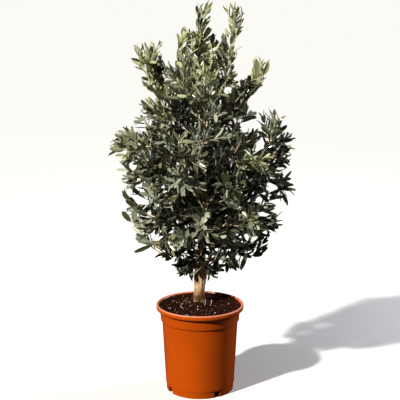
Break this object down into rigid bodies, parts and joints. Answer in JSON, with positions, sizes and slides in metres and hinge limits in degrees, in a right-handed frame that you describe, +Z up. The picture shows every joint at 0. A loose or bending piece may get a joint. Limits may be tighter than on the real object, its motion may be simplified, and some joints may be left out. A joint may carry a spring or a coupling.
{
  "type": "potted tree",
  "caption": "Young olive tree with a forked trunk, slender boughs and airy masses of narrow leaves, in a round plastic nursery pot with a rolled rim, filled with potting soil.",
  "frame": {"origin": "centre of the pot's underside, on the surface that the pot stands on", "axes": "+Z up along the pot's axis, -Y towards the viewer of the picture, +X to the viewer's right"},
  "size_m": [0.49, 0.4147, 1.0422],
  "materials": {
    "pot_plastic": "smooth injection-moulded polypropylene, softly glossy, lightly scuffed",
    "potting_soil": "dry, crumbly potting compost with bits of bark and perlite",
    "bark": "smooth young bark with fine lengthwise relief, matt",
    "young_bark": "grey-green bark of young wood, matt",
    "leaves": "leathery leaves, dark grey-green above and silvery below, slightly waxy"
  },
  "bodies": {
    "root": {"pot": "pot_plastic", "potting_soil": "potting_soil", "trunk": "bark", "leader_middle": "bark", "leader_1": "bark", "leader_2": "bark", "leader_3": "bark", "leader_4": "bark", "bough_lower_1": "young_bark", "bough_lower_2": "young_bark", "bough_lower_3": "young_bark", "bough_lower_4": "young_bark", "bough_lower_5": "young_bark", "bough_lower_6": "young_bark", "bough_middle_1": "young_bark", "bough_middle_2": "young_bark", "bough_middle_3": "young_bark", "bough_middle_4": "young_bark", "bough_middle_5": "young_bark", "bough_middle_6": "young_bark", "bough_upper_1": "young_bark", "bough_upper_2": "young_bark", "bough_upper_3": "young_bark", "bough_upper_4": "young_bark", "foliage_hem_1": "leaves", "foliage_hem_2": "leaves", "foliage_hem_3": "leaves", "foliage_hem_4": "leaves", "foliage_skirt_1": "leaves", "foliage_skirt_2": "leaves", "foliage_skirt_3": "leaves", "foliage_skirt_4": "leaves", "foliage_lower_1": "leaves", "foliage_lower_2": "leaves", "foliage_lower_3": "leaves", "foliage_lower_4": "leaves", "foliage_lower_5": "leaves", "foliage_lower_6": "leaves", "foliage_middle_1": "leaves", "foliage_middle_2": "leaves", "foliage_middle_3": "leaves", "foliage_middle_4": "leaves", "foliage_middle_5": "leaves", "foliage_middle_6": "leaves", "foliage_upper_1": "leaves", "foliage_upper_2": "leaves", "foliage_upper_3": "leaves", "foliage_upper_4": "leaves", "foliage_shoulder_1": "leaves", "foliage_shoulder_2": "leaves", "foliage_shoulder_3": "leaves", "foliage_shoulder_4": "leaves", "foliage_top_middle": "leaves", "foliage_top_right": "leaves", "foliage_top_left": "leaves", "foliage_top_back": "leaves", "foliage_top_front": "leaves"}
  },
  "joints": []
}
